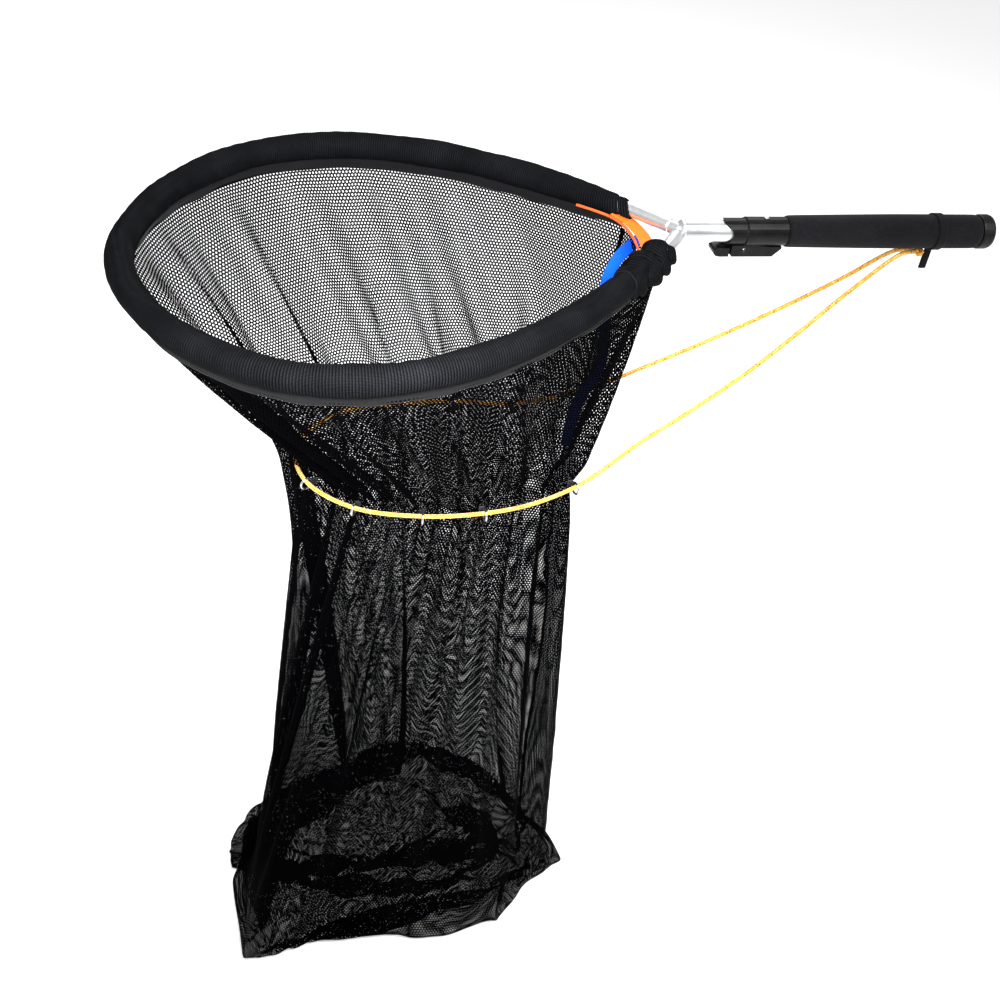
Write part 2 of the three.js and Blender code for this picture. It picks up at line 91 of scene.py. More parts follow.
# ---- camera ---------------------------------------------------------------------------------
def make_camera():
    right = Vector((0.9731, -0.2017, 0.1110)).normalized()
    ahead = Vector((0.2256, 0.7399, -0.6337)).normalized()
    up = right.cross(ahead).normalized()
    right = ahead.cross(up).normalized()
    camera = bpy.data.objects.new("camera", bpy.data.cameras.new("camera"))
    bpy.context.scene.collection.objects.link(camera)
    turn = Matrix((right, up, -ahead)).transposed().to_4x4()
    camera.matrix_world = Matrix.Translation((-0.8468, -1.1973, 0.6483)) @ turn
    camera.data.lens = 46.3
    camera.data.sensor_width = 36
    bpy.context.scene.camera = camera


make_camera()


# ---- curves and mesh helpers -------------------------------------------------------------------
def spline(points, per_span):
    """Points on a centripetal Catmull-Rom curve through the given points."""
    p = np.array(points, float)
    ext = np.vstack([2 * p[0] - p[1], p, 2 * p[-1] - p[-2]])
    out = []
    for i in range(1, len(ext) - 2):
        q = ext[i - 1:i + 3]
        t = np.concatenate([[0], np.cumsum(np.linalg.norm(np.diff(q, axis=0), axis=1) ** 0.5)])
        for u in np.linspace(t[1], t[2], per_span, endpoint=False):
            a = [((t[k + 1] - u) * q[k] + (u - t[k]) * q[k + 1]) / (t[k + 1] - t[k]) for k in range(3)]
            b = [((t[k + 2] - u) * a[k] + (u - t[k]) * a[k + 1]) / (t[k + 2] - t[k]) for k in range(2)]
            out.append(((t[2] - u) * b[0] + (u - t[1]) * b[1]) / (t[2] - t[1]))
    out.append(p[-1])
    return np.array(out)


def lengths(points):
    return np.concatenate([[0], np.cumsum(np.linalg.norm(np.diff(points, axis=0), axis=1))])


def at_lengths(points, s):
    """Points at lengths s along a polyline."""
    run = lengths(points)
    return np.stack([np.interp(s, run, points[:, k]) for k in range(points.shape[1])], 1)


def unit(v):
    return v / np.maximum(np.linalg.norm(v, axis=-1, keepdims=True), 1e-12)


def waves(seed, count, low, high):
    """A smooth wobble of one number, about -1 to 1, from a few sines of random phase."""
    r = np.random.default_rng(seed)
    k, phase, size = r.uniform(low, high, count), r.uniform(0, TAU, count), r.uniform(0.5, 1, count)
    return lambda x: (size * np.sin(np.multiply.outer(x, k) + phase)).sum(-1) / size.sum()


def smooth(mesh, sharp_degrees=None):
    mesh.polygons.foreach_set("use_smooth", [True] * len(mesh.polygons))
    if sharp_degrees:
        mesh.set_sharp_from_angle(angle=math.radians(sharp_degrees))


def new_object(name, verts, faces, uv=None):
    mesh = bpy.data.meshes.new(name)
    mesh.from_pydata([tuple(map(float, v)) for v in verts], [], faces)
    if uv is not None:
        layer = mesh.uv_layers.new(name="cloth")
        layer.data.foreach_set("uv", np.asarray(uv, np.float32).ravel())
    mesh.update()
    smooth(mesh)
    piece = bpy.data.objects.new(name, mesh)
    bpy.context.scene.collection.objects.link(piece)
    return piece


def grid_piece(name, rows, along, around, closed_ends=True):
    """A skin over a row of sections: rows is stations x sides x 3, along and around give each point's UV in metres."""
    n, k = rows.shape[:2]
    verts = list(rows.reshape(-1, 3))
    faces, uv = [], []
    for i in range(n - 1):
        for j in range(k):
            b = (j + 1) % k
            faces.append((i * k + j, i * k + b, (i + 1) * k + b, (i + 1) * k + j))
            uv += [(along[i], around[j]), (along[i], around[j + 1]),
                   (along[i + 1], around[j + 1]), (along[i + 1], around[j])]
    if closed_ends:
        for i, flip in ((0, True), (n - 1, False)):
            verts.append(rows[i].mean(0))
            m = len(verts) - 1
            for j in range(k):
                a, b = i * k + j, i * k + (j + 1) % k
                faces.append((m, b, a) if flip else (m, a, b))
                uv += [(along[i], around[j])] * 3
    return new_object(name, verts, faces, uv)


def frames_along(points, up):
    """Side and up directions at each point of a path, up being as near to the given one as can be."""
    t = unit(np.gradient(points, axis=0))
    side = unit(np.cross(t, np.broadcast_to(up, t.shape)))
    return side, unit(np.cross(side, t))


def transported(points):
    """Side and up directions that don't twist along a path."""
    t = unit(np.gradient(points, axis=0))
    up = np.array((0, 0, 1), float)
    ups = []
    for v in t:
        up = unit(up - v * (up @ v))
        ups.append(up)
    ups = np.array(ups)
    return unit(np.cross(t, ups)), ups


def rounded_box(half_w, half_h, sides, power=4.0):
    """A flat section with round corners, as [side, up] pairs, and the way round it."""
    a = TAU * np.arange(sides) / sides
    c, s = np.cos(a), np.sin(a)
    ring = np.stack([half_w * np.sign(c) * abs(c) ** (2 / power), half_h * np.sign(s) * abs(s) ** (2 / power)], 1)
    run = lengths(np.vstack([ring, ring[:1]]))
    return ring, run


def strap(name, path, half_w, half_h, up, step=0.0015, sides=16, edge_wave=0.0, seed=1):
    """A flat band along a path; up is the direction of its thin side."""
    run = lengths(path)[-1]
    s = np.linspace(0, run, max(8, int(run / step)))
    p = at_lengths(path, s)
    up = np.asarray(up, float)
    side, top = frames_along(p, up if up.ndim == 1 else at_lengths(up, s * lengths(up)[-1] / run))
    ring, around = rounded_box(half_w, half_h, sides)
    wobble = waves(seed, 5, 60, 400)(s) * edge_wave
    rows = (p[:, None] + side[:, None] * (ring[None, :, :1] * (1 + wobble[:, None, None] / half_w))
            + top[:, None] * (ring[None, :, 1:] + wobble[:, None, None] * 0.4))
    return grid_piece(name, rows, s, around)


TURNED_R = 0.016                # radius that the girth of a turned piece's UV is measured at


def turned(name, profile, sides, sharp, wobble):
    """A solid of revolution about the X axis, from a closed profile of [x, radius] pairs; sharp is in degrees, and
    wobble is how uneven its radius is."""
    a = TAU * np.arange(sides) / sides
    prof = np.array(profile, float)
    verts, faces, uv = [], [], []
    run = lengths(prof)
    shake = waves(7, 6, 30, 260)
    for i, (x, r) in enumerate(prof):
        for ang in a:
            rr = r + wobble * shake(np.array([x + 0.013 * math.sin(2 * ang)]))[0]
            verts.append((x, rr * math.cos(ang), rr * math.sin(ang)))
    n = len(prof)
    for i in range(n):
        j = (i + 1) % n
        for q in range(sides):
            b = (q + 1) % sides
            faces.append((i * sides + q, i * sides + b, j * sides + b, j * sides + q))
            end = run[j] if j else run[-1] + 0.004
            here, beyond = q / sides * TAU * TURNED_R, (q + 1) / sides * TAU * TURNED_R
            uv += [(run[i], here), (run[i], beyond), (end, beyond), (end, here)]
    piece = new_object(name, verts, faces, uv)
    bm = bmesh.new()
    bm.from_mesh(piece.data)
    bmesh.ops.remove_doubles(bm, verts=bm.verts, dist=1e-6)
    bmesh.ops.recalc_face_normals(bm, faces=bm.faces)
    bm.to_mesh(piece.data)
    bm.free()
    smooth(piece.data, sharp)
    return piece


# ---- materials ----------------------------------------------------------------------------------
class Finish:
    """One material and short ways to add nodes to it."""

    def __init__(self, name, color, roughness, metallic=0.0, **fixed):
        self.material = bpy.data.materials.new(name)
        self.material.use_nodes = True
        self.tree = self.material.node_tree
        self.shader = self.tree.nodes["Principled BSDF"]
        self.shader.inputs["Base Color"].default_value = (*color, 1)
        self.shader.inputs["Roughness"].default_value = roughness
        self.shader.inputs["Metallic"].default_value = metallic
        for socket, value in fixed.items():
            self.shader.inputs[socket.replace("_", " ")].default_value = value

    def node(self, kind, inputs=None, **props):
        made = self.tree.nodes.new(kind)
        for key, value in props.items():
            setattr(made, key, value)
        for key, value in (inputs or {}).items():
            self.put(made, key, value)
        return made

    def put(self, node, key, value):
        if hasattr(value, "is_output"):
            self.tree.links.new(value, node.inputs[key])
        else:
            node.inputs[key].default_value = value

    def math(self, operation, a, b=None, c=None):
        made = self.node("ShaderNodeMath", operation=operation)
        for i, value in enumerate((a, b, c)):
            if value is not None:
                self.put(made, i, value)
        return made.outputs[0]

    def cloth_uv(self):
        """The cloth's own two lengths in metres."""
        split = self.node("ShaderNodeSeparateXYZ", {0: self.node("ShaderNodeUVMap", uv_map="cloth").outputs[0]})
        return split.outputs[0], split.outputs[1]

    def place(self, scale=(1, 1, 1)):
        """Position in the object's own metres, scaled."""
        coords = self.node("ShaderNodeTexCoord").outputs["Object"]
        return self.node("ShaderNodeMapping", {0: coords, "Scale": scale}).outputs[0]

    def noise(self, vector, scale, detail=3.0, roughness=0.55):
        return self.node("ShaderNodeTexNoise", {
            "Vector": vector, "Scale": scale, "Detail": detail, "Roughness": roughness}).outputs[0]

    def ramp(self, value, stops):
        made = self.node("ShaderNodeValToRGB", {0: value})
        marks = made.color_ramp.elements
        while len(marks) < len(stops):
            marks.new(0.5)
        for mark, (position, color) in zip(marks, stops):
            mark.position = position
            mark.color = (*color, 1)
        return made.outputs[0]

    def span(self, value, low, high):
        """value, from 0 to 1, brought into low to high."""
        return self.node("ShaderNodeMapRange", {0: value, 3: low, 4: high}).outputs[0]

    def color(self, value):
        self.put(self.shader, "Base Color", value)

    def rough(self, value):
        self.put(self.shader, "Roughness", value)

    def bump(self, height, distance, strength=1.0):
        made = self.node("ShaderNodeBump", {"Height": height, "Distance": distance, "Strength": strength})
        self.put(self.shader, "Normal", made.outputs[0])


def wave(f, value, pitch, phase=0.0):
    """A sine of value with that pitch, from 0 to 1."""
    turn = f.math("MULTIPLY_ADD", value, TAU / pitch, phase)
    return f.math("MULTIPLY_ADD", f.math("SINE", turn), 0.5, 0.5)


def aluminium(name, tint, stretch, metallic=1.0):
    f = Finish(name, tint, 0.3, metallic)
    drawn = f.noise(f.place(stretch), 1.0, 4.0, 0.7)
    patches = f.noise(f.place(), 26.0, 3.0)
    light = tuple(min(1.0, c * 1.04) for c in tint)
    dark = tuple(c * 0.86 for c in tint)
    f.color(f.ramp(f.math("MULTIPLY_ADD", drawn, 0.5, f.math("MULTIPLY", patches, 0.5)),
                   [(0.3, dark), (0.62, light)]))
    f.rough(f.span(f.math("ADD", f.math("MULTIPLY", drawn, 0.6), f.math("MULTIPLY", patches, 0.4)), 0.2, 0.46))
    f.bump(drawn, 0.00004, 0.5)
    return f.material


def moulded(name, color, rough_low, rough_high, grain=2600.0):
    f = Finish(name, color, 0.45, **{"Specular_IOR_Level": 0.32})
    fine = f.noise(f.place(), grain, 2.0)
    rub = f.noise(f.place(), 75.0, 5.0, 0.65)
    worn = tuple(min(1.0, c * 2.0 + 0.004) for c in color)
    f.color(f.ramp(rub, [(0.45, color), (0.78, worn)]))
    f.rough(f.span(f.math("MULTIPLY_ADD", fine, 0.35, f.math("MULTIPLY", rub, 0.65)), rough_low, rough_high))
    f.bump(fine, 0.00006, 0.5)
    return f.material


def foam():
    f = Finish("foam", (0.012, 0.012, 0.014), 0.9, **{"Sheen_Weight": 0.06, "Sheen_Roughness": 0.6,
                                                      "Specular_IOR_Level": 0.12})
    cells = f.node("ShaderNodeTexVoronoi", {"Vector": f.place(), "Scale": 1250.0}).outputs[0]
    dents = f.noise(f.place(), 120.0, 5.0, 0.7)
    scuffs = f.noise(f.place((0.5, 1, 1)), 38.0, 6.0, 0.75)
    f.color(f.ramp(f.math("MULTIPLY_ADD", cells, 0.5, f.math("MULTIPLY", scuffs, 0.55)),
                   [(0.25, (0.002, 0.002, 0.003)), (0.55, (0.007, 0.007, 0.009)), (0.8, (0.020, 0.020, 0.023))]))
    f.rough(f.span(scuffs, 0.78, 1.0))
    f.bump(f.math("MULTIPLY_ADD", cells, 0.8, f.math("MULTIPLY", dents, 0.9)), 0.00022, 0.8)
    return f.material


def steel(name, dark, light):
    f = Finish(name, light, 0.2, 1.0)
    marks = f.noise(f.place(), 700.0, 4.0, 0.7)
    f.color(f.ramp(marks, [(0.3, dark), (0.65, light)]))
    f.rough(f.span(marks, 0.12, 0.34))
    f.bump(marks, 0.00003, 0.4)
    return f.material


def webbing(name, dark, light, pitch=0.0011, roughness=0.85, painted_shade=None):
    """Plain woven band: ribs across it, crossed by fine warp. The last argument paints shade over one end: where along
    it the painted shade starts and is complete, and how much of the colour is left there."""
    f = Finish(name, light, roughness, **{"Sheen_Weight": 0.08, "Sheen_Roughness": 0.45,
                                          "Specular_IOR_Level": 0.2})
    u, v = f.cloth_uv()
    ribs = wave(f, u, pitch)
    warp = wave(f, v, pitch * 0.8, 1.3)
    weave = f.math("MULTIPLY_ADD", ribs, 0.65, f.math("MULTIPLY", warp, 0.35))
    fuzz = f.noise(f.place(), 420.0, 4.0, 0.7)
    soil = f.noise(f.place(), 32.0, 4.0)
    mixed = f.math("ADD", f.math("MULTIPLY", weave, 0.62), f.math("MULTIPLY", fuzz, 0.25))
    tint = f.ramp(f.math("MULTIPLY_ADD", soil, 0.28, f.math("MULTIPLY", mixed, 0.86)), [(0.22, dark), (0.72, light)])
    # painted shade: past a length along the band its colour is scaled down, as if shaded
    if painted_shade:
        left = f.node("ShaderNodeMapRange", {0: u, 1: painted_shade[0], 2: painted_shade[1], 3: 1.0, 4: painted_shade[2]}).outputs[0]
        tint = f.node("ShaderNodeVectorMath", {0: tint, 3: left}, operation="SCALE").outputs[0]
    f.color(tint)
    f.rough(f.span(fuzz, roughness - 0.12, min(1.0, roughness + 0.1)))
    f.bump(weave, 0.00025, 0.7)
    return f.material


RIB_PITCH = 0.0028              # of the sleeve's knit


def rib_knit():
    """Padded sleeve: narrow ribs across it, each a column of small loops."""
    f = Finish("rib_knit", (0.01, 0.01, 0.012), 0.9, **{"Specular_IOR_Level": 0.06})
    u, v = f.cloth_uv()
    loops = wave(f, f.math("ADD", v, f.math("MULTIPLY", wave(f, u, RIB_PITCH), 0.0004)), 0.0013)
    ribs = wave(f, u, RIB_PITCH)
    cross = wave(f, u, RIB_PITCH / 2, 0.7)
    weave = f.math("ADD", f.math("MULTIPLY", loops, 0.4),
                   f.math("MULTIPLY_ADD", ribs, 0.45, f.math("MULTIPLY", cross, 0.15)))
    fuzz = f.noise(f.place(), 520.0, 4.0, 0.75)
    wear = f.noise(f.place(), 22.0, 4.0, 0.6)
    total = f.math("MULTIPLY_ADD", weave, 0.55, f.math("MULTIPLY_ADD", fuzz, 0.2, f.math("MULTIPLY", wear, 0.25)))
    f.color(f.ramp(total, [(0.25, (0.0005, 0.0005, 0.0007)), (0.5, (0.0022, 0.0024, 0.0028)),
                         (0.78, (0.022, 0.023, 0.028))]))
    f.rough(f.span(fuzz, 0.62, 0.9))
    f.bump(weave, 0.0004, 0.8)
    return f.material


NET_PITCH = 0.0041              # one mesh of the net to the next
NET_HOLE = 0.322                # hole radius as a share of the pitch
NET_SEAM = 0.0035               # half the width of the closed band along a seam


def net_fabric(seams):
    """Knotless mesh: round holes in staggered rows, through which everything behind shows. Along its seams, given
    by how far round the cloth they are, it is closed."""
    f = Finish("net_mesh", (0.003, 0.003, 0.004), 0.9, **{"Specular_IOR_Level": 0.02})
    u, v = f.cloth_uv()
    tall = math.sqrt(3)
    drift = f.noise(f.place(), 55.0, 2.0)
    x = f.math("DIVIDE", f.math("MULTIPLY_ADD", drift, 0.0016, u), NET_PITCH)
    y = f.math("DIVIDE", f.math("MULTIPLY_ADD", drift, -0.0012, v), NET_PITCH * tall)

    def squared(shift):
        dx = f.math("SUBTRACT", f.math("FRACT", f.math("ADD", x, shift)), 0.5)
        dy = f.math("MULTIPLY", f.math("SUBTRACT", f.math("FRACT", f.math("ADD", y, shift)), 0.5), tall)
        return f.math("ADD", f.math("MULTIPLY", dx, dx), f.math("MULTIPLY", dy, dy))

    away = f.math("SQRT", f.math("MINIMUM", squared(0.0), squared(0.5)))
    size = f.math("MULTIPLY_ADD", f.noise(f.place(), 240.0, 2.0), 0.05, NET_HOLE - 0.025)
    net = f.math("GREATER_THAN", away, size)
    for seam in seams:
        off = f.math("ABSOLUTE", f.math("SUBTRACT", u, seam))
        edge = f.math("MULTIPLY_ADD", drift, 0.003, NET_SEAM - 0.0015)
        net = f.math("MAXIMUM", net, f.math("LESS_THAN", off, edge))
    f.put(f.shader, "Alpha", net)
    twist = f.noise(f.place(), 1500.0, 2.0)
    f.color(f.ramp(twist, [(0.35, (0.0004, 0.0004, 0.0006)), (0.7, (0.002, 0.002, 0.003))]))
    f.rough(f.span(twist, 0.8, 1.0))
    f.bump(f.math("SMOOTH_MIN", away, 0.55, 0.1), 0.0006, 0.6)
    return f.material


def cord_braid():
    """Braided cord, gold with orange, cream and brown flecks."""
    f = Finish("cord_braid", (0.8, 0.45, 0.1), 0.7, **{"Sheen_Weight": 0.3, "Sheen_Roughness": 0.4})
    u, v = f.cloth_uv()
    around = f.math("MULTIPLY", v, 6 / (TAU * CORD_R))
    along = f.math("DIVIDE", u, BRAID_PITCH)
    left, right = f.math("ADD", around, along), f.math("SUBTRACT", around, along)
    one, two = f.math("FLOOR", left), f.math("FLOOR", right)
    over = f.math("MODULO", f.math("ABSOLUTE", f.math("ADD", one, two)), 2.0)
    bulge = f.math("MULTIPLY", f.math("SINE", f.math("MULTIPLY", f.math("FRACT", left), math.pi)),
                   f.math("SINE", f.math("MULTIPLY", f.math("FRACT", right), math.pi)))
    cell = f.node("ShaderNodeCombineXYZ", {0: one, 1: two, 2: over})
    fleck = f.node("ShaderNodeTexWhiteNoise", {0: cell.outputs[0]}, noise_dimensions="3D").outputs[0]
    soil = f.noise(f.place(), 60.0, 4.0)
    pick = f.math("ADD", f.math("MULTIPLY", over, 0.3),
                  f.math("MULTIPLY_ADD", fleck, 0.56, f.math("MULTIPLY", soil, 0.14)))
    gold = f.ramp(pick, [(0.04, (0.30, 0.08, 0.012)), (0.16, (0.56, 0.20, 0.022)), (0.34, (0.70, 0.33, 0.04)),
                         (0.64, (0.76, 0.42, 0.07)), (0.92, (0.86, 0.62, 0.24))])
    f.color(gold)
    f.rough(f.span(bulge, 0.85, 0.6))
    f.bump(bulge, 0.0005, 0.9)
    return f.material


ALUMINIUM = aluminium("aluminium", (0.86, 0.87, 0.88), (14, 900, 900))
# hoop arms and yoke: a darker, less metallic copy of the same aluminium, painted shade that keeps them from glaring
# white under the lamps
ALUMINIUM_ARM_SHADED = aluminium("aluminium_arm_shaded", (0.80, 0.81, 0.83), (500, 500, 500), 0.88)
PLASTIC = moulded("satin_plastic", (0.0035, 0.0035, 0.004), 0.22, 0.42)
CAP_PLASTIC = moulded("cap_plastic", (0.005, 0.005, 0.0055), 0.36, 0.56, 1900.0)
FOAM = foam()
STEEL = steel("steel", (0.68, 0.68, 0.70), (0.93, 0.93, 0.95))
DARK_STEEL = steel("dark_steel", (0.03, 0.03, 0.032), (0.09, 0.09, 0.10))
BLACK_WEB = webbing("black_webbing", (0.001, 0.001, 0.0015), (0.010, 0.010, 0.012))
# its lower end is darkened with painted shade, where it runs down under the net
BLUE_WEB = webbing("blue_webbing", (0.0, 0.026, 0.34), (0.002, 0.125, 0.84), painted_shade=(0.09, 0.13, 0.10))
ORANGE = webbing("orange_fabric", (0.70, 0.085, 0.003), (0.98, 0.24, 0.012), 0.0008, 0.6)
PIPING = webbing("orange_piping", (0.50, 0.05, 0.012), (0.88, 0.16, 0.035), 0.0006, 0.5)
KNIT = rib_knit()
BRAID = cord_braid()


def place_piece(piece, body, material=None, replaced=()):
    if material:
        piece.data.materials.clear()
        piece.data.materials.append(material)
    if body:
        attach(piece, body)
    if replaced:
        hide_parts(*replaced)
    return piece


# ---- drawcord -----------------------------------------------------------------------------------
def braided_tube(name, path, radius, step, sides=18):
    run = lengths(path)[-1]
    s = np.linspace(0, run, int(run / step))
    p = at_lengths(path, s)
    side, up = transported(p)
    a = TAU * np.arange(sides + 1) / sides
    swell = (np.sin(3 * a[None, :-1] + math.pi * s[:, None] / BRAID_PITCH)
             * np.sin(3 * a[None, :-1] - math.pi * s[:, None] / BRAID_PITCH))
    r = radius - 0.00012 + 0.00022 * abs(swell)
    rows = p[:, None] + r[..., None] * (side[:, None] * np.cos(a[:-1])[None, :, None]
                                        + up[:, None] * np.sin(a[:-1])[None, :, None])
    return grid_piece(name, rows, s, a * radius)


cord_path = spline(CORD_ROUTE, 30)
cord = braided_tube("drawcord", cord_path, CORD_R, 0.0012)
place_piece(cord, None, BRAID, ["drawcord_near", "drawcord_loop", "drawcord_far"])
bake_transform(cord)


def overhand_knot():
    """A tight overhand knot in the two ends of the cord."""
    t = np.linspace(0, TAU, 160)
    x = np.sin(t) + 2 * np.sin(2 * t)
    y = np.cos(t) - 2 * np.cos(2 * t)
    z = -np.sin(3 * t)
    path = np.stack([-0.0198 + 0.00165 * x, 0.0016 * y, -0.0262 + 0.0019 * z], 1)
    return braided_tube("cord_knot_tied", path, 0.0024, 0.0009)


knot = place_piece(overhand_knot(), "handle", BRAID, ["cord_knot"])


# ---- hoop ---------------------------------------------------------------------------------------
HOOP = spline([(-d, w) for d, w in HOOP_HALF] + [(-d, -w) for d, w in HOOP_HALF[-2::-1]], 40)
HOOP_LENGTH = float(lengths(HOOP)[-1])
CUFF_LENGTH, GATHER_LENGTH = 0.0116, 0.092
SLEEVE_START, SLEEVE_END = 0.064, HOOP_LENGTH - 0.038
CUFF_END, GATHER_START = SLEEVE_START + CUFF_LENGTH, SLEEVE_END - GATHER_LENGTH
SLEEVE_R, SLEEVE_GAP = 0.0150, 0.0004


def on_hoop(x, y, z=0.0):
    """A point given in the hoop's own flat plane, in the row frame."""
    c, s = math.cos(-DROOP), math.sin(-DROOP)
    return np.stack([APEX_X + x * c + z * s, y + 0 * x, -x * s + z * c], -1)


def hoop_sections(s, section):
    """section(i) gives [outward, up] pairs for each station s of the hoop; returns rows of points."""
    flat = at_lengths(HOOP, s)
    ahead = unit(at_lengths(HOOP, np.minimum(s + 0.004, HOOP_LENGTH)) - at_lengths(HOOP, np.maximum(s - 0.004, 0)))
    out = np.stack([ahead[:, 1], -ahead[:, 0]], 1)
    x = flat[:, None, 0] + out[:, None, 0] * section[..., 0]
    y = flat[:, None, 1] + out[:, None, 1] * section[..., 0]
    return on_hoop(x, y, section[..., 1])


def round_section(radius, sides):
    a = TAU * np.arange(sides) / sides
    return np.stack([radius * np.cos(a), radius * np.sin(a)], -1)


ROD_R, ROD_SIDES, ROD_STATIONS, ROD_END = 0.008, 36, 500, 0.002
stations = np.linspace(ROD_END, HOOP_LENGTH - ROD_END, ROD_STATIONS)
rod_rings = np.broadcast_to(round_section(ROD_R, ROD_SIDES), (ROD_STATIONS, ROD_SIDES, 2))
arms = grid_piece("hoop_rod", hoop_sections(stations, rod_rings), stations,
                  TAU * ROD_R * np.arange(ROD_SIDES + 1) / ROD_SIDES)
place_piece(arms, "head", ALUMINIUM_ARM_SHADED, ["hoop_tube"])


def padded_sleeve(name, s0, s1, radius, step, sides, seed, pucker):
    """Knit tube round the hoop from length s0 to s1: ribs across it, a heavier underside, the creases that pucker
    gives, and a far end that slants, so that it reaches further on the inside."""
    s = np.linspace(s0, s1, int((s1 - s0) / step))
    a = TAU * np.arange(sides) / sides
    drift = waves(seed, 6, 8, 60)(s)
    slow = waves(seed + 1, 5, 20, 90)
    fine = waves(seed + 2, 7, 120, 420)
    ring = s[:, None] + 0.0035 * np.sin(a + 0.6)[None] + 0.0022 * np.sin(2 * a + 3 * drift[:, None])
    r = radius + 0.0011 * slow(ring) + 0.0005 * fine(ring + 0.01 * np.cos(a)[None])
    r = r + 0.00016 * np.sin(TAU * ring / RIB_PITCH)
    r = r + pucker(s, a)
    out = r * np.cos(a) * 0.97
    up = r * np.sin(a) * 1.02 - 0.0008 * (np.sin(a) < 0)
    ends = np.minimum(1, np.minimum(s - s0, s1 - s) / 0.004)
    close = (0.90 + 0.10 * np.sqrt(np.clip(1 - (1 - ends) ** 2, 0, 1)))[:, None]
    rows = hoop_sections(s, np.stack([out * close, up * close], -1))
    slant = 0.006 * np.exp(-(s - SLEEVE_START) / 0.03)[:, None] * (1 + np.cos(a - 3.9))[None]
    rows = rows - unit(np.gradient(rows.mean(1), axis=0))[:, None] * slant[..., None]
    return grid_piece(name, rows, s, np.arange(sides + 1) / sides * TAU * radius)


def taper(s):
    """How much thinner the sleeve is towards its far end."""
    return 0.0048 * np.exp(-((s - SLEEVE_START) / 0.055) ** 2)


def body_pucker(s, a):
    near = np.exp(-((s - SLEEVE_START) / 0.03)) + np.exp(-((GATHER_START - s) / 0.05))
    dents = waves(41, 6, 90, 260)(s[:, None] + 0.02 * np.sin(a)[None])
    return 0.0013 * near[:, None] * dents - taper(s)[:, None]


def gather_pucker(s, a):
    t = (s - GATHER_START) / (SLEEVE_END - GATHER_START)
    lean = 0.012 * np.sin(a + 0.8)[None] + 0.006 * np.sin(2 * a + 2.0)[None]
    warp = 0.007 * waves(57, 3, 40, 110)(s)[:, None] + 0.004 * np.sin(a + 9 * t[:, None])
    folds = abs(np.sin(math.pi * (s[:, None] + lean + warp) / 0.026)) ** 0.8 - 0.55
    soft = waves(53, 6, 60, 200)(s[:, None] + 0.02 * np.cos(2 * a)[None])
    swell = 0.0036 * np.sin(math.pi * np.clip(t, 0, 1)) ** 0.5
    hang = 0.006 * np.clip(1.6 * t, 0, 1)[:, None] * np.cos(a + 2.2)[None]
    depth = np.clip(t * 4, 0.2, 1) * np.clip((1.06 - t) * 5, 0.3, 1)
    return hang + swell[:, None] + 0.0066 * folds * depth[:, None] + 0.0022 * soft


sleeve = padded_sleeve("padded_sleeve", CUFF_END + SLEEVE_GAP, GATHER_START, SLEEVE_R, 0.0007, 30, 21, body_pucker)
place_piece(sleeve, "head", KNIT, ["hoop_sleeve"])
gather = padded_sleeve("sleeve_end_gather", GATHER_START + SLEEVE_GAP, SLEEVE_END, SLEEVE_R, 0.0006, 48, 31,
                       gather_pucker)
place_piece(gather, "head", KNIT, ["sleeve_gather"])
cuff = padded_sleeve("sleeve_cuff_hem", SLEEVE_START, CUFF_END, 0.0146, 0.0005, 48, 61,
                     lambda s, a: 0.0007 * np.sin(11 * a)[None] * (1 - (s - SLEEVE_START) / CUFF_LENGTH)[:, None]
                     - taper(s)[:, None])
place_piece(cuff, "head", KNIT, ["sleeve_cuff"])

HEM_TOP, HEM_BOTTOM = -0.0130, -0.0290


def hem_strip():
    """Folded binding under the sleeve that the net is sewn into, with its two lines of stitches standing proud."""
    s = np.linspace(SLEEVE_START, SLEEVE_END, 1100)
    sides = 28
    ring, around = rounded_box(0.0013, (HEM_TOP - HEM_BOTTOM) / 2, sides, 3.0)
    up = ring[:, 1][None] + 0.0011 * waves(71, 6, 30, 140)(s)[:, None] * (ring[:, 1] < 0)[None]
    sway = 0.0016 * waves(72, 6, 25, 120)(s)[:, None] * (0.5 - ring[:, 1] / (HEM_TOP - HEM_BOTTOM))[None]
    pads = 0.0005 * (np.exp(-((up - 0.0045) / 0.0011) ** 2) + np.exp(-((up + 0.0045) / 0.0011) ** 2))
    stitch = 1 + 0.5 * np.sign(np.sin(TAU * s / 0.0042))[:, None]
    across = ring[:, 0][None] + sway - np.sign(ring[:, 0])[None] * pads * stitch - 0.001
    middle = (HEM_TOP + HEM_BOTTOM) / 2
    rows = hoop_sections(s, np.stack([across, up + middle + taper(s)[:, None]], -1))
    return grid_piece("sleeve_hem_binding", rows, s, around)


hem = place_piece(hem_strip(), "head", BLACK_WEB, ["sleeve_hem"])

# ---- orange panel and its piping at the throat of the hoop -----------------------------------------
web_path = on_hoop(*np.array([(-0.057, 0.063), (-0.047, 0.047), (-0.041, 0.030), (-0.038, 0.010), (-0.039, -0.008),
                              (-0.042, -0.024)]).T, np.array([-0.0080, -0.0095, -0.011, -0.012, -0.012, -0.0105]))
web = strap("orange_panel", spline(web_path, 20), 0.0082, 0.0007, (0, 0, 1), 0.0008, 20, 0.0005, 81)
place_piece(web, "head", ORANGE, ["orange_web"])
piping_path = on_hoop(*np.array([(-0.096, 0.087), (-0.078, 0.071), (-0.061, 0.053), (-0.052, 0.034), (-0.049, 0.012),
                                 (-0.050, -0.010), (-0.054, -0.027)]).T,
                      np.array([-0.009, -0.009, -0.010, -0.012, -0.014, -0.015, -0.014]))
piping = strap("orange_cord_edge", spline(piping_path, 20), 0.0014, 0.0014, (0, 0, 1), 0.0008, 14, 0.0001, 82)
place_piece(piping, "head", PIPING, ["orange_piping"])

